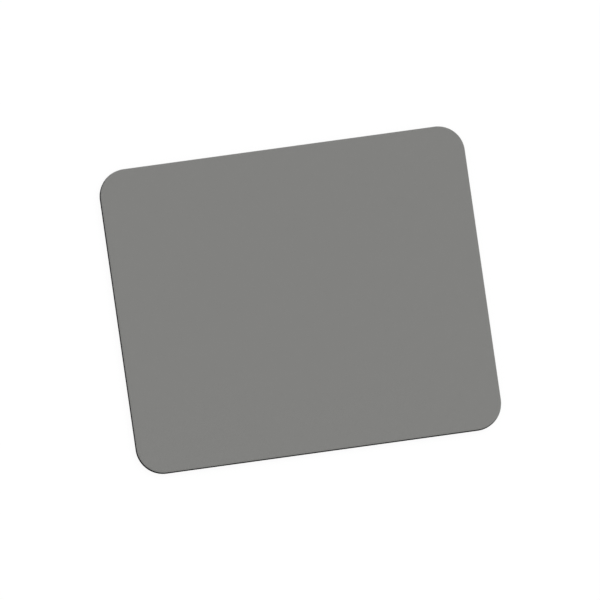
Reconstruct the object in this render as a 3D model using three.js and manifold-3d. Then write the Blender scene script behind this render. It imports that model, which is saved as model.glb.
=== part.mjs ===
// A plain mouse pad: knitted face cloth bonded to a sponge rubber base by a hot-melt film.
// The three sheets are laminated first, and one stroke of a steel-rule die then cuts the outline
// through all of them. The die drags the face down as it enters, so the cloth rolls over at its
// edge, and the film and the sponge follow it. The sponge is squeezed while it is cut, so it springs
// back to a hollow wall that leans out towards the desk.
// The underside carries the grip ribs that the sponge sheet was moulded with, and the die cuts
// across them, so their grooves run out through the front and back walls.
// Millimetres, +Z up. The origin is the middle of the underside, +X runs along the long edge and
// +Y points away from the user.

import * as THREE from "three";
import { mergeVertices } from "three/addons/utils/BufferGeometryUtils.js";
import loadManifold from "manifold-3d";

// Die-cut outline, at the desk
const PAD_WIDTH = 229;
const PAD_DEPTH = 191;
const CORNER_RADIUS = 17;

// Sheets, from the desk up
const SPONGE_THICKNESS = 5.4;
const FILM_THICKNESS = 0.1;
const CLOTH_THICKNESS = 0.5;

// Cut edge
const CUT_LEAN = 0.35; // from the outline in to the cut through the cloth
const ROLL_REACH = 1.2; // from the cut to where the face starts to fall
const ROLL_DROP = 0.35; // fall of the face at the cut
const FILM_SETBACK = 0.08; // from the cut to the film, which draws back from the blade
const CLOTH_EDGE_ROUND = 0.25; // round of the cut yarns at the cloth's upper edge
const WALL_DISH = 0.3; // hollow of the leaning sponge wall at half its height
const FOOT_ROUND = 0.4; // round of the sponge's lower edge

// Grip ribs
const GRIP_PITCH = 3;
const GROOVE_WIDTH = 1;
const GROOVE_DEPTH = 0.4;

// Facets
const CORNER_STEPS = 16;
const ROLL_STEPS = 5;
const ROUND_STEPS = 3;
const WALL_STEPS = 8;

const SPONGE_TOP = SPONGE_THICKNESS;
const FILM_TOP = SPONGE_TOP + FILM_THICKNESS;
const CLOTH_TOP = FILM_TOP + CLOTH_THICKNESS;

const wasm = await loadManifold();
wasm.setup();

// A ring is the die's outline drawn at some inset and some height. All rings share their corner
// centres, so the points of any two of them pair up one to one.
function ringPoints({ inset, height }) {
  const centreX = PAD_WIDTH / 2 - CORNER_RADIUS;
  const centreY = PAD_DEPTH / 2 - CORNER_RADIUS;
  const quarter = Math.PI / 2;
  const points = [];
  [[1, 1], [-1, 1], [-1, -1], [1, -1]].forEach(([sideX, sideY], corner) => {
    const arc = new THREE.ArcCurve(
      sideX * centreX,
      sideY * centreY,
      CORNER_RADIUS - inset,
      corner * quarter,
      (corner + 1) * quarter,
      false,
    );
    for (const point of arc.getPoints(CORNER_STEPS)) {
      points.push(new THREE.Vector3(point.x, point.y, height));
    }
  });
  return points;
}

// A closed solid lofted through rings, from the rim of its flat underside, out and up round its
// edge, to the rim of its flat top. Each band's quads are split from the outer ring to the inner
// one, so two sheets that meet on the same pair of rings have the same facets there.
function loft(rings) {
  const corners = [];
  const sections = rings.map(ringPoints);
  const outline = sections[0].map((point) => new THREE.Vector2(point.x, point.y));
  for (const [a, b, c] of THREE.ShapeUtils.triangulateShape(outline, [])) {
    corners.push(sections[0][a], sections[0][c], sections[0][b]);
    corners.push(sections.at(-1)[a], sections.at(-1)[b], sections.at(-1)[c]);
  }
  for (let band = 0; band + 1 < rings.length; band += 1) {
    const lower = sections[band];
    const upper = sections[band + 1];
    const inward = rings[band].inset <= rings[band + 1].inset;
    lower.forEach((start, index) => {
      const next = (index + 1) % lower.length;
      if (inward) {
        corners.push(start, lower[next], upper[next]);
        corners.push(start, upper[next], upper[index]);
      } else {
        corners.push(start, lower[next], upper[index]);
        corners.push(lower[next], upper[next], upper[index]);
      }
    });
  }
  return mergeVertices(new THREE.BufferGeometry().setFromPoints(corners));
}

function toSolid(geometry) {
  const vertProperties = new Float32Array(geometry.getAttribute("position").array);
  const triVerts = new Uint32Array(geometry.getIndex().array);
  return new wasm.Manifold(new wasm.Mesh({ numProp: 3, vertProperties, triVerts }));
}

function toGeometry(solid) {
  const { vertProperties, triVerts } = solid.getMesh();
  const geometry = new THREE.BufferGeometry();
  geometry.setAttribute("position", new THREE.BufferAttribute(vertProperties, 3));
  geometry.setIndex(new THREE.BufferAttribute(triVerts, 1));
  return geometry;
}

function steps(from, to, count) {
  return Array.from({ length: count + 1 }, (_, step) => THREE.MathUtils.lerp(from, to, step / count));
}

// A sheet's face is flat inside the roll and falls to the cut in a parabola. Distances here are
// from the cut.
function rolledFace(top, distances) {
  return distances.map((distance) => {
    const share = 1 - distance / ROLL_REACH;
    return { inset: CUT_LEAN + distance, height: top - ROLL_DROP * share * share };
  });
}

function rollSlope(distance) {
  return (2 * ROLL_DROP / ROLL_REACH) * (1 - distance / ROLL_REACH);
}

// Rings along a plane curve from one [inset, height] to another, drawn towards a third.
function alongCurve(from, towards, to, count) {
  const curve = new THREE.QuadraticBezierCurve(
    new THREE.Vector2(...from),
    new THREE.Vector2(...towards),
    new THREE.Vector2(...to),
  );
  return curve.getPoints(count).map((point) => ({ inset: point.x, height: point.y }));
}

// Distances from the cut over the two bonded faces, from the film's edge in to the flat of the pad.
const bonded = steps(FILM_SETBACK, ROLL_REACH, ROLL_STEPS);
const cutToFlat = [0, ...bonded];

// The middle of the pad stands on a rib, so the grooves lie half a pitch to either side of it and
// on, as far as the flat of the underside reaches.
function gripGrooves() {
  const flatReach = PAD_WIDTH / 2 - FOOT_ROUND - GROOVE_WIDTH / 2;
  const section = new THREE.Shape();
  section.moveTo(-GROOVE_WIDTH, -GROOVE_DEPTH);
  section.lineTo(GROOVE_WIDTH, -GROOVE_DEPTH);
  section.lineTo(0, GROOVE_DEPTH);
  const grooves = [];
  for (let x = GRIP_PITCH / 2; x <= flatReach; x += GRIP_PITCH) {
    for (const side of [-1, 1]) {
      const groove = new THREE.ExtrudeGeometry(section, { depth: 2 * PAD_DEPTH, bevelEnabled: false });
      groove.deleteAttribute("normal");
      groove.deleteAttribute("uv");
      groove.rotateX(Math.PI / 2);
      groove.translate(side * x, PAD_DEPTH, 0);
      grooves.push(toSolid(mergeVertices(groove)));
    }
  }
  return grooves;
}

function sponge() {
  const wallTop = SPONGE_TOP - ROLL_DROP;
  const hollow = [CUT_LEAN / 2 + 2 * WALL_DISH, (FOOT_ROUND + wallTop) / 2];
  const blank = loft([
    ...alongCurve([FOOT_ROUND, 0], [0, 0], [0, FOOT_ROUND], ROUND_STEPS).slice(0, -1),
    ...alongCurve([0, FOOT_ROUND], hollow, [CUT_LEAN, wallTop], WALL_STEPS).slice(0, -1),
    ...rolledFace(SPONGE_TOP, cutToFlat),
  ]);
  return toGeometry(gripGrooves().reduce((solid, groove) => solid.subtract(groove), toSolid(blank)));
}

function film() {
  return loft([
    ...rolledFace(SPONGE_TOP, bonded.toReversed()),
    ...rolledFace(FILM_TOP, bonded),
  ]);
}

// The round of the cloth's edge leaves the cut upright and runs into the slope of the face.
function cloth() {
  const round = Math.min(CLOTH_EDGE_ROUND, CLOTH_THICKNESS / 2);
  const [shoulder, ...face] = rolledFace(CLOTH_TOP, steps(round, ROLL_REACH, ROLL_STEPS));
  const brow = shoulder.height - round * rollSlope(round);
  return loft([
    ...rolledFace(FILM_TOP, cutToFlat.toReversed()),
    ...alongCurve(
      [CUT_LEAN, brow - round],
      [CUT_LEAN, brow],
      [shoulder.inset, shoulder.height],
      ROUND_STEPS,
    ),
    ...face,
  ]);
}

function sheet(name, geometry, material) {
  geometry.computeVertexNormals();
  const mesh = new THREE.Mesh(geometry, material);
  mesh.name = name;
  return mesh;
}

const pad = new THREE.Group();
pad.add(
  sheet(
    "sponge_base",
    sponge(),
    new THREE.MeshStandardMaterial({ color: 0x1d1d1e, roughness: 0.9, metalness: 0 }),
  ),
  sheet(
    "bond_film",
    film(),
    new THREE.MeshStandardMaterial({ color: 0x5c5b58, roughness: 0.5, metalness: 0 }),
  ),
  sheet(
    "cloth_top",
    cloth(),
    new THREE.MeshStandardMaterial({ color: 0x81817f, roughness: 0.95, metalness: 0 }),
  ),
);

export default pad;
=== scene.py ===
import math
import random

import bmesh
import bpy
from mathutils import Matrix, Vector


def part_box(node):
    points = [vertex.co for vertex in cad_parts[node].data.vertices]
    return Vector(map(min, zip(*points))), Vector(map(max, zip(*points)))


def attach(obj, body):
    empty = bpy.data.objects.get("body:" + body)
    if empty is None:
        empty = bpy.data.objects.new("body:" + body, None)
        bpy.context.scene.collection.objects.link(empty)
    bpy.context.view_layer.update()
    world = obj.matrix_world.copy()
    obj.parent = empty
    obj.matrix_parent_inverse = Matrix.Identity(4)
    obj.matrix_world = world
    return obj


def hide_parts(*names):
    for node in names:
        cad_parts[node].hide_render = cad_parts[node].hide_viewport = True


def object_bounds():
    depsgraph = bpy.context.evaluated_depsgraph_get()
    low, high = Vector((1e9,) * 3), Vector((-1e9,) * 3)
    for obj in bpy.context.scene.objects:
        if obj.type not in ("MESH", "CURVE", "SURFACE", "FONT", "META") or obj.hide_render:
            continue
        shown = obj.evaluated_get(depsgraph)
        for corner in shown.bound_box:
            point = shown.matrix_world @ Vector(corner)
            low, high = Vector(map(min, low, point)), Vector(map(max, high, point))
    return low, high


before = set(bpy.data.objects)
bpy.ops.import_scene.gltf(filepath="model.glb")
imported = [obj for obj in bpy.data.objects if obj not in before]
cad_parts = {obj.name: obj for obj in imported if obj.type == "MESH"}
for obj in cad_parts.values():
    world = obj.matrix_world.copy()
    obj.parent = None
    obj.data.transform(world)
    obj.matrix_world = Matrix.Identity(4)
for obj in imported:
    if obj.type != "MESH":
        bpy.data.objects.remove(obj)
cad_low, cad_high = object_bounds()


# Sponge base. A black sponge rubber sheet, moulded in a press with a smooth skin and straight grip
# ribs on its underside. The die cuts it together with the cloth, so its walls are hollow, lean out to
# the desk and are full of opened cells, and the grooves between the ribs run out through them.
CORNER_RADIUS = 0.017
CORNER_SEGMENTS = 96
LONGEST_RIM_EDGE = 0.002
WALL_CUTS = (24,)
LEAST_EDGE = 0.000003
FOOT_ROUND = 0.0004
FOOT_ROWS = 3
WALL_DISH = 0.0003
WALL_ROWS = 6
ROLL_REACH = 0.0012
ROLL_ROWS = 4
GRIP_PITCH = 0.003
GROOVE_WIDTH = 0.001
GROOVE_DEPTH = 0.0004
GROOVE_SIDES = 4
GROOVE_ROOT = 0.5
GROOVE_ROOT_ROUND = 0.3
GROOVE_ROOT_ROWS = 2
CELL_STRETCH = 0.022
CELL_COLUMNS = 14
CELL_LINES = 4
CELL_DETAIL = 2
CELL_LEAST = 0.00012
CELL_MOST = 0.0004
CELL_BIAS = 2
CELL_SQUASH = 0.25
CELL_PROUD = 0.45
CELL_SEED = 6
PLAIN_MARGIN = 0.0002
SMOOTH_ANGLE = math.radians(40)
DOWNWARD = -0.5
UPWARD = 0.5

RUBBER_BLACK = (0.021, 0.021, 0.022, 1)
# The open cells' black is painted shade in the hollows of the cells, darker than the rubber itself.
OPEN_CELL_PAINTED_SHADE = (0.003, 0.003, 0.0033, 1)
# The cell rim grey is a painted highlight, where the torn rims of the cells would catch the light.
CELL_RIM_PAINTED_HIGHLIGHT = (0.038, 0.038, 0.039, 1)
TORN_CELL = 0.0007
FINE_CELL = TORN_CELL / 3
CELL_SIZE_PATCH = 0.0016
CELL_SIZE_SPREAD = 0.5
CELL_PULL_SIZE = 0.0004
CELL_PULL = 0.0005
TORN_CELL_EDGE = (0.42, 0.52)
# How far out from a cell's middle the painted rim highlight reaches.
RIM_HIGHLIGHT_EDGE = (0.53, 0.62)
FINE_CELL_EDGE = (0.36, 0.52)
# How strong the painted rim highlight is.
RIM_HIGHLIGHT_SHARE = 0.7
DRAG_LINE = 0.0004
DRAG_STRETCH = (1, 1, 10)
DRAG_SHADE = (0.35, 0.85)
DRAG_RELIEF = 0.5
CUT_PATCH = 0.006
CUT_PATCH_SHADE = 0.4
CUT_RELIEF = 0.0002
CUT_ROUGHNESS = (0.82, 0.96)
# The cell skin black is painted shade inside the pits, darker than the rubber of the wall.
CELL_SKIN_PAINTED_SHADE = (0.008, 0.008, 0.0085, 1)
CELL_SKIN_GRAIN = 0.0003
CELL_SKIN_ROUGHNESS = (0.8, 0.95)

SKIN_BLACK = (0.017, 0.017, 0.018, 1)
SCUFF_GREY = (0.05, 0.05, 0.049, 1)
SKIN_GRAIN = 0.0005
SKIN_RELIEF = 0.0001
SKIN_BLOTCH = 0.014
SKIN_ROUGHNESS = (0.45, 0.65)
PINHOLE_PITCH = 0.0011
PINHOLE_EDGE = (0.08, 0.2)
PINHOLE_RELIEF = 0.6
RIB_TOP = (0.00002, 0.00008)
SCUFF_SIZE = 0.004
SCUFF_STRETCH = (1, 4, 1)
SCUFF_EDGE = (0.5, 0.72)
SCUFF_SHADE = (0.3, 1)
SCUFF_ROUGHNESS = 0.2

WALL_BAND = 0.3
RIB_BAND = 0.55
RIB_MIDDLE = 0.65
CELL_BAND = 0.05
CELL_BAND_LOW = 0.95
HIDDEN_SHIFT = Vector((20, 20))
QUARTER_TURN = math.pi / 2
FRONT = -1

sponge_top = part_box("sponge_base")[1].z
film_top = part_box("bond_film")[1].z
cloth_low, cloth_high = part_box("cloth_top")
roll_drop = film_top - cloth_low.z
cut_lean = cad_high.x - cloth_high.x
film_setback = cloth_high.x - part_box("bond_film")[1].x


class Socket:
    """A socket of a node tree. Python maths on it adds Math nodes, and node() adds any other."""

    def __init__(self, tree, socket=None):
        self.tree = tree
        self.socket = socket

    def node(self, kind, settings, sockets, output=0):
        """Adds a node: its settings are set first, then the values or links of its sockets."""
        added = self.tree.nodes.new("ShaderNode" + kind)
        for name, value in settings.items():
            setattr(added, name, value)
        for name, value in sockets.items():
            if isinstance(value, Socket):
                self.tree.links.new(value.socket, added.inputs[name])
            else:
                added.inputs[name].default_value = value
        return Socket(self.tree, added.outputs[output] if added.outputs else None)

    def math(self, operation, *values):
        """Adds a Math node that works on sockets or numbers."""
        return self.node("Math", {"operation": operation}, dict(enumerate(values)))

    def __add__(self, other):
        return self.math("ADD", self, other)

    def __sub__(self, other):
        return self.math("SUBTRACT", self, other)

    def __rsub__(self, other):
        return self.math("SUBTRACT", other, self)

    def __mul__(self, other):
        return self.math("MULTIPLY", self, other)

    __radd__ = __add__
    __rmul__ = __mul__


def new_finish(name):
    """An empty material, and a socket to start its nodes from."""
    material = bpy.data.materials.new(name)
    material.use_nodes = True
    material.node_tree.nodes.clear()
    return material, Socket(material.node_tree)


def noise(nodes, place, size, detail=2.0, stretch=(1, 1, 1)):
    """Soft noise from 0 to 1, with blobs of a size in the place's unit, drawn out along an axis if asked."""
    stretched = nodes.node("Mapping", {}, {"Vector": place, "Scale": tuple(1 / part for part in stretch)})
    return nodes.node("TexNoise", {}, {"Vector": stretched, "Scale": 1 / size, "Detail": detail}, "Fac")


def cells(nodes, place, size):
    """Rounded cells of a size in metres: 0 at the middle of a cell, and near 1 at its walls."""
    return nodes.node("TexVoronoi", {}, {"Vector": place, "Scale": 1 / size}, "Distance")


def ease(nodes, value, limits):
    """0 below the first limit, 1 above the second, and a smooth rise between them."""
    low, high = limits
    sockets = {"Value": value, "From Min": low, "From Max": high}
    return nodes.node("MapRange", {"interpolation_type": "SMOOTHSTEP"}, sockets)


def vary(limits, share):
    """The first limit where share is 0, and the second where it is 1."""
    low, high = limits
    return low + (high - low) * share


def mix_colour(nodes, share, first, second):
    """The first colour where share is 0, and the second where it is 1."""
    return nodes.node("Mix", {"data_type": "RGBA"}, {0: share, 6: first, 7: second}, 2)


def dress(piece, material, test=None):
    """Gives a material to a whole piece, or to the faces that pass the test."""
    if material.name not in piece.data.materials:
        piece.data.materials.append(material)
    if test:
        slot = piece.data.materials.find(material.name)
        for face in piece.data.polygons:
            if test(face):
                face.material_index = slot


cut_rubber, nodes = new_finish("cut_sponge_rubber")
place = nodes.node("TexCoord", {}, {}, "Object")
cell_sizes = CELL_SIZE_SPREAD * noise(nodes, place, CELL_SIZE_PATCH)
pull = nodes.node("TexNoise", {}, {"Vector": place, "Scale": 1 / CELL_PULL_SIZE}, "Color")
pulled = nodes.node("VectorMath", {"operation": "MULTIPLY_ADD"}, {0: pull, 1: (CELL_PULL,) * 3, 2: place})
from_middle = cells(nodes, pulled, TORN_CELL) + cell_sizes
outside_torn = ease(nodes, from_middle, TORN_CELL_EDGE)
outside_fine = ease(nodes, cells(nodes, pulled, FINE_CELL) + cell_sizes, FINE_CELL_EDGE)
# A painted highlight in a ring just outside each torn cell.
rim_highlights = outside_torn * (1 - ease(nodes, from_middle, RIM_HIGHLIGHT_EDGE))
walls_between = outside_torn * outside_fine
drag_lines = noise(nodes, place, DRAG_LINE, stretch=DRAG_STRETCH)
patches = noise(nodes, place, CUT_PATCH, detail=3)
wall_shade = vary(DRAG_SHADE, drag_lines) + CUT_PATCH_SHADE * patches
# Between the cell walls the cut face is given painted shade, as in the hollows of opened cells.
cut_face = mix_colour(nodes, walls_between * wall_shade, OPEN_CELL_PAINTED_SHADE, RUBBER_BLACK)
relief = walls_between + DRAG_RELIEF * drag_lines
bump = nodes.node("Bump", {}, {"Strength": 0.9, "Distance": CUT_RELIEF, "Height": relief})
surface = nodes.node("BsdfPrincipled", {}, {
    "Base Color": mix_colour(nodes, RIM_HIGHLIGHT_SHARE * rim_highlights, cut_face, CELL_RIM_PAINTED_HIGHLIGHT),
    "Roughness": vary(CUT_ROUGHNESS, drag_lines),
    "Specular IOR Level": 0.0,
    "Normal": bump,
})
nodes.node("OutputMaterial", {}, {"Surface": surface})

# The pits are real hollows in the mesh, and their colour is painted shade, darker than the wall's rubber.
opened_cells, nodes = new_finish("opened_cells")
place = nodes.node("TexCoord", {}, {}, "Object")
cell_skin = noise(nodes, place, CELL_SKIN_GRAIN, detail=3)
surface = nodes.node("BsdfPrincipled", {}, {
    "Base Color": mix_colour(nodes, cell_skin, OPEN_CELL_PAINTED_SHADE, CELL_SKIN_PAINTED_SHADE),
    "Roughness": vary(CELL_SKIN_ROUGHNESS, cell_skin),
    "Specular IOR Level": 0.0,
})
nodes.node("OutputMaterial", {}, {"Surface": surface})

moulded_skin, nodes = new_finish("moulded_rubber_skin")
place = nodes.node("TexCoord", {}, {}, "Object")
height = nodes.node("SeparateXYZ", {}, {"Vector": place}, "Z")
grain = noise(nodes, place, SKIN_GRAIN, detail=4)
pinholes = 1 - ease(nodes, cells(nodes, place, PINHOLE_PITCH), PINHOLE_EDGE)
blotches = noise(nodes, place, SKIN_BLOTCH, detail=3)
on_rib = 1 - ease(nodes, height, RIB_TOP)
scuffs = on_rib * ease(nodes, noise(nodes, place, SCUFF_SIZE, detail=5, stretch=SCUFF_STRETCH), SCUFF_EDGE)
relief = grain - PINHOLE_RELIEF * pinholes
bump = nodes.node("Bump", {}, {"Strength": 0.8, "Distance": SKIN_RELIEF, "Height": relief})
surface = nodes.node("BsdfPrincipled", {}, {
    "Base Color": mix_colour(nodes, scuffs * vary(SCUFF_SHADE, grain), SKIN_BLACK, SCUFF_GREY),
    "Roughness": vary(SKIN_ROUGHNESS, blotches) + SCUFF_ROUGHNESS * scuffs,
    "Specular IOR Level": 0.35,
    "Normal": bump,
})
nodes.node("OutputMaterial", {}, {"Surface": surface})


def select_where(piece, elements, test):
    """In edit mode, selects the verts, edges or faces that pass the test, and nothing else."""
    bpy.ops.mesh.select_mode(type={"verts": "VERT", "edges": "EDGE", "faces": "FACE"}[elements])
    bpy.ops.mesh.select_all(action="DESELECT")
    mesh = bmesh.from_edit_mesh(piece.data)
    for element in getattr(mesh, elements):
        if test(element):
            element.select_set(True)
    mesh.select_flush_mode()
    bmesh.update_edit_mesh(piece.data)


def die_outline(name, straight_cuts=()):
    """The die's outline as a flat curve, with its long edges cut up once for each number of cuts."""
    bpy.ops.object.select_all(action="DESELECT")
    bpy.ops.mesh.primitive_plane_add(size=2, calc_uvs=False)
    outline = bpy.context.object
    outline.name = name
    outline.scale = (cad_high.x, cad_high.y, 1)
    bpy.ops.object.transform_apply(location=False, rotation=False, scale=True)
    bpy.ops.object.mode_set(mode="EDIT")
    bpy.ops.mesh.bevel(offset=CORNER_RADIUS, segments=CORNER_SEGMENTS, affect="VERTICES")
    bpy.ops.mesh.select_all(action="SELECT")
    bpy.ops.mesh.delete(type="ONLY_FACE")
    for cuts in straight_cuts:
        select_where(outline, "edges", lambda edge: edge.calc_length() > LONGEST_RIM_EDGE)
        bpy.ops.mesh.subdivide(number_cuts=cuts)
    bpy.ops.object.mode_set(mode="OBJECT")
    bpy.ops.object.convert(target="CURVE")
    outline = bpy.context.object
    outline.data.dimensions = "2D"
    return outline


def die_cut(name, profile, straight_cuts, panes=(1, 1)):
    """A new piece in edit mode: (inset, height) rows swept round the outline, and closed with panes."""
    section = bpy.data.objects.new("section", bpy.data.curves.new("section", "CURVE"))
    rows = section.data.splines.new("POLY")
    rows.points.add(len(profile) - 1)
    for point, (inset, height) in zip(rows.points, profile):
        point.co = (inset, height, 0, 1)
    piece = die_outline(name, straight_cuts)
    piece.data.bevel_mode = "OBJECT"
    piece.data.bevel_object = section
    bpy.ops.object.convert(target="MESH")
    piece = bpy.context.object
    piece.data.name = name
    piece.data.uv_layers.remove(piece.data.uv_layers[0])
    bpy.data.objects.remove(section)
    bpy.ops.object.mode_set(mode="EDIT")
    for _, level in (profile[0], profile[-1]):
        select_where(
            piece,
            "edges",
            lambda edge: edge.is_boundary and abs(edge.verts[0].co.z - level) < LEAST_EDGE,
        )
        bpy.ops.mesh.edge_face_add()
    select_where(piece, "faces", lambda face: len(face.verts) == 4)
    bpy.ops.mesh.hide()
    for axis, count in enumerate(panes):
        plane = Vector((1 - axis, axis, 0))
        for line in range(1, count):
            bpy.ops.mesh.select_all(action="SELECT")
            bpy.ops.mesh.bisect(plane_co=plane * cad_high[axis] * (2 * line / count - 1), plane_no=plane)
    bpy.ops.mesh.reveal()
    bpy.ops.mesh.select_all(action="SELECT")
    bpy.ops.mesh.normals_make_consistent(inside=False)
    return piece


def bend_point(start, towards, end, share):
    """A point on a plane curve that leaves start and reaches end in line with a third point."""
    return tuple(
        (1 - share) ** 2 * a + 2 * share * (1 - share) * b + share ** 2 * c
        for a, b, c in zip(start, towards, end)
    )


def bend(start, towards, end, rows):
    """Rows along that curve, from one end to the other."""
    return [bend_point(start, towards, end, row / rows) for row in range(rows + 1)]


def roll_steps(start):
    """Distances from the cut, from a start near it in to where the pad is flat."""
    return [start + (ROLL_REACH - start) * row / ROLL_ROWS for row in range(ROLL_ROWS + 1)]


def rolled_face(top, distances):
    """Rows of a sheet's face, which falls to the cut in a parabola."""
    return [
        (cut_lean + distance, top - roll_drop * (1 - distance / ROLL_REACH) ** 2)
        for distance in distances
    ]


def apply_modifier(piece, kind, **settings):
    """Puts one modifier on a piece with the settings given, and applies it."""
    modifier = piece.modifiers.new(kind.title(), kind)
    for name, value in settings.items():
        setattr(modifier, name, value)
    bpy.context.view_layer.objects.active = piece
    bpy.ops.object.modifier_apply(modifier=modifier.name)


def repeat_along(piece, count, pitch):
    """Copies a piece's mesh along X, so that there are so many of it at that pitch."""
    apply_modifier(
        piece,
        "ARRAY",
        count=count,
        use_relative_offset=False,
        use_constant_offset=True,
        constant_offset_displace=(pitch, 0, 0),
    )


def cut_away(piece, cutter):
    """Takes one solid out of another, whose new faces get its finish, and removes it."""
    apply_modifier(
        piece,
        "BOOLEAN",
        operation="DIFFERENCE",
        solver="MANIFOLD",
        material_mode="TRANSFER",
        object=cutter,
    )
    bpy.data.objects.remove(cutter)


def smooth(piece):
    """Shades a piece smooth, apart from its sharp edges, and keeps its large flat faces flat."""
    bpy.ops.object.select_all(action="DESELECT")
    piece.select_set(True)
    bpy.context.view_layer.objects.active = piece
    bpy.ops.object.shade_smooth_by_angle(angle=SMOOTH_ANGLE)
    apply_modifier(piece, "WEIGHTED_NORMAL", keep_sharp=True)


def lay_map(piece, places_of):
    """Gives a piece its own map, from a function of a face and of the points at its corners."""
    places = piece.data.uv_layers.new(name="OFBake").data
    for face in piece.data.polygons:
        points = [piece.data.vertices[index].co for index in face.vertices]
        for corner, place in zip(face.loop_indices, places_of(face, points)):
            places[corner].uv = place


bonded_steps = roll_steps(film_setback)
cut_to_flat = [0] + bonded_steps
wall_top = sponge_top - roll_drop
wall_hollow = (cut_lean / 2 + 2 * WALL_DISH, (FOOT_ROUND + wall_top) / 2)
wall_curve = ((0, FOOT_ROUND), wall_hollow, (cut_lean, wall_top))
foot_rows = bend((FOOT_ROUND, 0), (0, 0), (0, FOOT_ROUND), FOOT_ROWS)
wall_rows = bend(*wall_curve, WALL_ROWS)
sponge_rows = foot_rows[:-1] + wall_rows[:-1] + rolled_face(sponge_top, cut_to_flat)
sponge = die_cut("sponge_base_cut", sponge_rows, WALL_CUTS)
bpy.ops.object.mode_set(mode="OBJECT")
dress(sponge, cut_rubber)

outermost_groove = cad_high.x - FOOT_ROUND - GROOVE_WIDTH / 2
grooves_a_side = 1 + int((outermost_groove - GRIP_PITCH / 2) / GRIP_PITCH)
bpy.ops.object.select_all(action="DESELECT")
bpy.ops.mesh.primitive_cylinder_add(vertices=GROOVE_SIDES, radius=1, depth=4 * cad_high.y, calc_uvs=False)
groove = bpy.context.object
bpy.ops.object.mode_set(mode="EDIT")
select_where(groove, "edges", lambda edge: all(vert.co.y > GROOVE_ROOT for vert in edge.verts))
bpy.ops.mesh.bevel(offset=GROOVE_ROOT_ROUND, segments=GROOVE_ROOT_ROWS)
bpy.ops.object.mode_set(mode="OBJECT")
groove.rotation_euler.x = QUARTER_TURN
groove.scale = (GROOVE_WIDTH / 2, GROOVE_DEPTH, 1)
groove.location.x = GRIP_PITCH / 2 - GRIP_PITCH * grooves_a_side
bpy.ops.object.transform_apply(location=True, rotation=True, scale=True)
repeat_along(groove, 2 * grooves_a_side, GRIP_PITCH)
dress(groove, moulded_skin)
cut_away(sponge, groove)

# One stretch of cells is drawn from a seed, each in its own space so that no two meet. The stretch is
# repeated to the length of the cut, bent round the outline and cut out of the wall.
cut_length = 4 * (cad_high.x + cad_high.y) + (2 * math.pi - 8) * CORNER_RADIUS
stretches = round(cut_length / CELL_STRETCH)
stretch_length = cut_length / stretches
column_width = stretch_length / CELL_COLUMNS
wall_height = wall_top - FOOT_ROUND
line_height = (wall_height - 2 * PLAIN_MARGIN) / CELL_LINES
draw = random.Random(CELL_SEED)
bpy.ops.object.select_all(action="DESELECT")
opened = None
for column in range(CELL_COLUMNS):
    for line in range(CELL_LINES):
        radius = CELL_LEAST + (CELL_MOST - CELL_LEAST) * draw.random() ** CELL_BIAS
        squash = [1 + draw.uniform(-CELL_SQUASH, CELL_SQUASH) for _ in range(3)]
        room = radius * (1 + CELL_SQUASH)
        along = column_width * (column + 0.5) + draw.uniform(-1, 1) * (column_width / 2 - room)
        rise = PLAIN_MARGIN + line_height * (line + 0.5) + draw.uniform(-1, 1) * (line_height / 2 - room)
        inset, height = bend_point(*wall_curve, rise / wall_height)
        outward = CELL_PROUD * draw.random() * radius - inset
        bpy.ops.mesh.primitive_ico_sphere_add(
            subdivisions=CELL_DETAIL,
            radius=radius,
            location=(along, outward, height),
            scale=squash,
            calc_uvs=False,
        )
        if not opened:
            opened = bpy.context.object
            bpy.ops.object.transform_apply(location=True, rotation=False, scale=True)
            bpy.ops.object.mode_set(mode="EDIT")
bpy.ops.object.mode_set(mode="OBJECT")
repeat_along(opened, stretches, stretch_length)
path = die_outline("cut_path")
apply_modifier(opened, "CURVE", object=path)
bpy.data.objects.remove(path)
dress(opened, opened_cells)
cut_away(sponge, opened)
bpy.ops.object.mode_set(mode="EDIT")
select_where(sponge, "faces", lambda face: FOOT_ROUND < face.calc_center_median().z < wall_top)
bpy.ops.mesh.quads_convert_to_tris(quad_method="BEAUTY", ngon_method="BEAUTY")
bpy.ops.mesh.dissolve_degenerate(threshold=LEAST_EDGE)
bpy.ops.object.mode_set(mode="OBJECT")
dress(sponge, moulded_skin, lambda face: face.center.z <= GROOVE_DEPTH and face.normal.z < DOWNWARD)
smooth(sponge)


def within_corners(point):
    """The nearest point of the rectangle that joins the middles of the four corner rounds."""
    reach = cad_high.xy - Vector((CORNER_RADIUS, CORNER_RADIUS))
    return Vector([min(max(place, -most), most) for place, most in zip(point, reach)])


def along_cut(point, quarter):
    """How far a point lies along the cut, on the side that is so many quarter turns from the right."""
    turn_back = Matrix.Rotation(-quarter * QUARTER_TURN, 2)
    inner = within_corners(point)
    outward = turn_back @ (point.xy - inner)
    round_corner = CORNER_RADIUS * math.atan2(outward.y, outward.x)
    return (turn_back @ inner).y + round_corner + (quarter - FRONT) * cut_length / 4


def sponge_places(face, points):
    """The map has three bands: a stretch of the front wall, a stretch of one rib, and that wall's cells."""
    finish = sponge.data.materials[face.material_index]
    if finish == moulded_skin:
        rib = round(face.center.x / GRIP_PITCH)
        shift = HIDDEN_SHIFT.x if rib else 0
        return [
            (point.y / stretch_length + shift, RIB_MIDDLE + RIB_BAND * (point.x / GRIP_PITCH - rib))
            for point in points
        ]
    if finish == cut_rubber and face.normal.z > UPWARD:
        return [point.xy / stretch_length + HIDDEN_SHIFT for point in points]
    outward = face.center.xy - within_corners(face.center)
    quarter = round(math.atan2(outward.y, outward.x) / QUARTER_TURN)
    shift = 0 if quarter == FRONT else HIDDEN_SHIFT.x
    low, band = (0, WALL_BAND) if finish == cut_rubber else (CELL_BAND_LOW, CELL_BAND)
    return [
        (along_cut(point, quarter) / stretch_length + shift, low + band * point.z / sponge_top)
        for point in points
    ]


lay_map(sponge, sponge_places)

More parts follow.
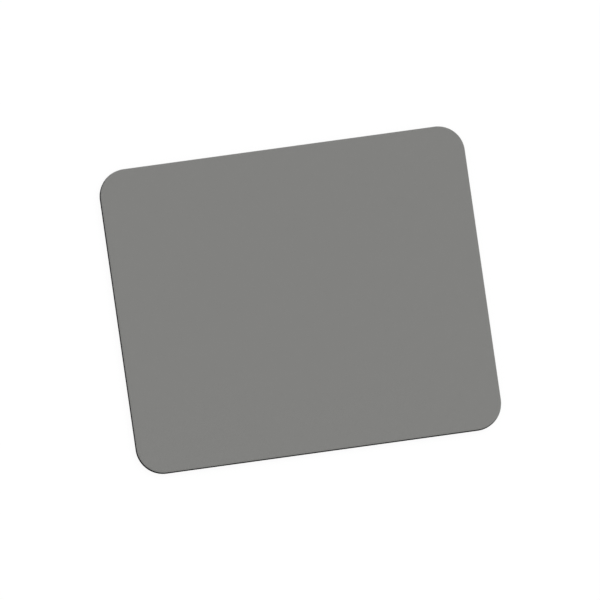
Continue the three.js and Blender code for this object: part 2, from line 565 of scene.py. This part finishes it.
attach(sponge, "root")
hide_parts("sponge_base")


# Bond film. A thin hot-melt adhesive film that was melted between the cloth and the sponge under a
# hot roller. It shows only at the cut, as a fine line that draws back a little and isn't even.
RIM_CUTS = (24, 24)
UPRIGHT = 0.9
FILM_WAVE = 0.0035
FILM_WANDER = 0.00008
FILM_GREY = (0.107, 0.105, 0.098, 1)
FILM_DARK = (0.055, 0.054, 0.05, 1)
FILM_FLOW = 0.0025
FILM_RELIEF = 0.00005
FILM_ROUGHNESS = (0.35, 0.6)


def roughen_edge(piece, size, depth):
    """Leaves edit mode, and moves the upright vertices of a piece's cut in and out by noise of a size."""
    select_where(piece, "verts", lambda vert: vert.normal.xy.length > UPRIGHT)
    bpy.ops.object.vertex_group_assign_new()
    bpy.ops.object.mode_set(mode="OBJECT")
    texture = bpy.data.textures.new(piece.name, "CLOUDS")
    texture.noise_scale = size
    apply_modifier(
        piece,
        "DISPLACE",
        texture=texture,
        texture_coords="LOCAL",
        vertex_group=piece.vertex_groups.active.name,
        strength=depth,
    )


film_under = rolled_face(sponge_top, bonded_steps[::-1])
film_upper = rolled_face(film_top, bonded_steps)
film_middle = tuple((low + high) / 2 for low, high in zip(film_under[-1], film_upper[0]))
film = die_cut("bond_film_line", film_under + [film_middle] + film_upper, RIM_CUTS)
roughen_edge(film, FILM_WAVE, FILM_WANDER)
smooth(film)

hot_melt, nodes = new_finish("hot_melt_adhesive")
place = nodes.node("TexCoord", {}, {}, "Object")
flow = noise(nodes, place, FILM_FLOW, detail=3)
bump = nodes.node("Bump", {}, {"Strength": 0.5, "Distance": FILM_RELIEF, "Height": flow})
surface = nodes.node("BsdfPrincipled", {}, {
    "Base Color": mix_colour(nodes, flow, FILM_DARK, FILM_GREY),
    "Roughness": vary(FILM_ROUGHNESS, flow),
    "Normal": bump,
})
nodes.node("OutputMaterial", {}, {"Surface": surface})
dress(film, hot_melt)

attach(film, "root")
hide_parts("bond_film")


# Face cloth. A fine grey polyester jersey, knitted, dyed and heat-set flat, and bonded all over to
# the sponge. The die cuts through it and drags it down, so it rolls over at its edge, and the cut
# yarn ends stand a little proud of each other there.
CLOTH_EDGE_ROUND = 0.00025
CLOTH_EDGE_ROWS = 3
CLOTH_PANES = (36, 30)
YARN_END_SIZE = 0.0005
YARN_ENDS = 0.00006
KNIT_REPEAT = 0.022
WALES = 40
COURSES = 50
WANDERS = 2
WALE_WANDER = 0.08
COURSE_BOW = 0.12
BOW_SKEW = 1.5
STITCH_SLANT = 0.7
STITCH_RELIEF = 0.00008
# Where the painted shade in the gaps between the stitches starts and ends.
GAP_SHADE_LIMITS = (0, 0.5)
STITCH_SHADE = 0.6
FIBRE = 0.003
FIBRE_SHADE = 0.4
FIBRE_RELIEF = 0.25
YARN_GREY = (0.223, 0.223, 0.2151, 1)
HEATHER_GREY = (0.201, 0.201, 0.1939, 1)
# The stitch gap grey is painted shade in the gaps between the loops, darker than the yarn.
STITCH_GAP_PAINTED_SHADE = (0.151, 0.151, 0.1457, 1)
YARN_ROUGHNESS = (0.84, 0.96)

shoulder, *cloth_face = rolled_face(cloth_high.z, roll_steps(CLOTH_EDGE_ROUND))
slope_at_shoulder = 2 * roll_drop / ROLL_REACH * (1 - CLOTH_EDGE_ROUND / ROLL_REACH)
brow = shoulder[1] - CLOTH_EDGE_ROUND * slope_at_shoulder
cut_edge = bend((cut_lean, brow - CLOTH_EDGE_ROUND), (cut_lean, brow), shoulder, CLOTH_EDGE_ROWS)
cut_middle = (cut_lean, (cloth_low.z + cut_edge[0][1]) / 2)
cloth_under = rolled_face(film_top, cut_to_flat[::-1])
cloth_rows = cloth_under + [cut_middle] + cut_edge + cloth_face
cloth = die_cut("cloth_top_knit", cloth_rows, RIM_CUTS, CLOTH_PANES)
roughen_edge(cloth, YARN_END_SIZE, YARN_ENDS)
smooth(cloth)


def knit_places(face, points):
    """Where points lie on the flat knit, in repeats of its pattern: the edge is unrolled outwards."""
    shift = HIDDEN_SHIFT if face.normal.z < DOWNWARD else Vector((0, 0))
    places = []
    for point in points:
        outward = (point.xy - within_corners(point)).normalized()
        places.append((point.xy + outward * (cloth_high.z - point.z)) / KNIT_REPEAT + shift)
    return places


def hill(value):
    """0 where the value is 0 or 1, and a round rise to 1 halfway between."""
    return 4 * value * (1 - value)


lay_map(cloth, knit_places)

jersey, nodes = new_finish("grey_jersey")
place = nodes.node("TexCoord", {}, {}, "UV")
repeat = nodes.node("VectorMath", {"operation": "FRACTION"}, {0: place})
repeat_x = nodes.node("SeparateXYZ", {}, {"Vector": repeat}, "X")
repeat_y = nodes.node("SeparateXYZ", {}, {"Vector": repeat}, "Y")
wander = nodes.math("SINE", WANDERS * math.tau * repeat_y)
bow = nodes.math("SINE", math.tau * repeat_x + BOW_SKEW * wander)
across = WALES * repeat_x + WALE_WANDER * wander
along = COURSES * repeat_y + COURSE_BOW * bow
leg = 2 * nodes.math("PINGPONG", across, 0.5)
loop_turn = along + STITCH_SLANT * leg
stitch = hill(leg) * hill(nodes.math("FRACT", loop_turn))
stitch_number = nodes.node("CombineXYZ", {}, {
    "X": nodes.math("FLOOR", 2 * across),
    "Y": nodes.math("FLOOR", loop_turn),
})
shade = nodes.node("TexWhiteNoise", {"noise_dimensions": "2D"}, {"Vector": stitch_number}, "Value")
fibres = noise(nodes, repeat, FIBRE, detail=3)
yarn = mix_colour(nodes, STITCH_SHADE * shade + FIBRE_SHADE * fibres, HEATHER_GREY, YARN_GREY)
relief = stitch + FIBRE_RELIEF * fibres
bump = nodes.node("Bump", {}, {"Strength": 0.7, "Distance": STITCH_RELIEF, "Height": relief})
# The yarn's colour falls to painted shade in the gaps between the stitches.
surface = nodes.node("BsdfPrincipled", {}, {
    "Base Color": mix_colour(nodes, ease(nodes, stitch, GAP_SHADE_LIMITS), STITCH_GAP_PAINTED_SHADE, yarn),
    "Roughness": vary(YARN_ROUGHNESS, fibres),
    "Specular IOR Level": 0.25,
    "Sheen Weight": 0.08,
    "Sheen Roughness": 0.5,
    "Normal": bump,
})
nodes.node("OutputMaterial", {}, {"Surface": surface})
dress(cloth, jersey)

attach(cloth, "root")
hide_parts("cloth_top")


# Floor and light. A white studio table under an even white surround, with one broad soft light high
# on the right. The camera, and whatever mirrors or lets through, sees the table as paper white with
# only a trace of the pad's shadow.
FLOOR_REACH = 6
FLOOR_WHITE = (0.98, 0.98, 0.98, 1)
PAPER_SHARE = 0.92
SURROUND_WHITE = (1, 1, 1, 1)
SURROUND_LEVEL = 0.68
KEY_LEVEL = 1.6
KEY_SPREAD = math.radians(50)
KEY_FROM = Vector((0.35, 0.28, 1))


def in_plain_sight(nodes):
    """1 for a ray from the camera or one that a mirror or a clear thing sends on, and otherwise 0."""
    camera_ray, glossy_ray, clear_ray = (
        nodes.node("LightPath", {}, {}, "Is " + kind + " Ray")
        for kind in ("Camera", "Glossy", "Transmission")
    )
    return nodes.math("MAXIMUM", nodes.math("MAXIMUM", camera_ray, glossy_ray), clear_ray)


bpy.ops.object.select_all(action="DESELECT")
bpy.ops.mesh.primitive_plane_add(size=2 * FLOOR_REACH)
table = bpy.context.object
table.name = "studio_table"
table_white, nodes = new_finish("studio_table_white")
lit = nodes.node("BsdfDiffuse", {}, {"Color": FLOOR_WHITE})
paper = nodes.node("Emission", {}, {"Strength": 1.0})
surface = nodes.node("MixShader", {}, {0: PAPER_SHARE * in_plain_sight(nodes), 1: lit, 2: paper})
nodes.node("OutputMaterial", {}, {"Surface": surface})
dress(table, table_white)

surround = bpy.data.worlds.new("white_surround")
surround.use_nodes = True
surround.node_tree.nodes.clear()
nodes = Socket(surround.node_tree)
level = vary((SURROUND_LEVEL, 1), in_plain_sight(nodes))
glow = nodes.node("Background", {}, {"Color": SURROUND_WHITE, "Strength": level})
nodes.node("OutputWorld", {}, {"Surface": glow})
bpy.context.scene.world = surround

bpy.ops.object.light_add(type="SUN")
key = bpy.context.object
key.name = "broad_key"
key.data.energy = KEY_LEVEL
key.data.angle = KEY_SPREAD
key.rotation_euler = KEY_FROM.to_track_quat("Z", "Y").to_euler()


# Camera. It hangs over the pad on a very long lens, a little towards the pad's near left corner, so
# the left and front walls just show, and it is rolled until the pad lies turned in the picture.
LENS = 1200
VIEW_WIDTH = 0.3716
CAMERA_HEADING = math.radians(-45)
CAMERA_TILT = math.radians(6.4)
CAMERA_ROLL = math.radians(37)
AIM = Vector((-0.00065, -0.00037, 0.006))

lens = bpy.data.cameras.new("over_the_pad")
lens.lens = LENS
camera = bpy.data.objects.new("over_the_pad", lens)
bpy.context.scene.collection.objects.link(camera)
camera_turn = (
    Matrix.Rotation(CAMERA_HEADING, 3, "Z")
    @ Matrix.Rotation(CAMERA_TILT, 3, "X")
    @ Matrix.Rotation(CAMERA_ROLL, 3, "Z")
)
distance = VIEW_WIDTH * LENS / lens.sensor_width
camera.location = AIM + camera_turn @ Vector((0, 0, distance))
camera.rotation_euler = camera_turn.to_euler()
bpy.context.scene.camera = camera
bpy.context.scene.view_settings.view_transform = "Standard"
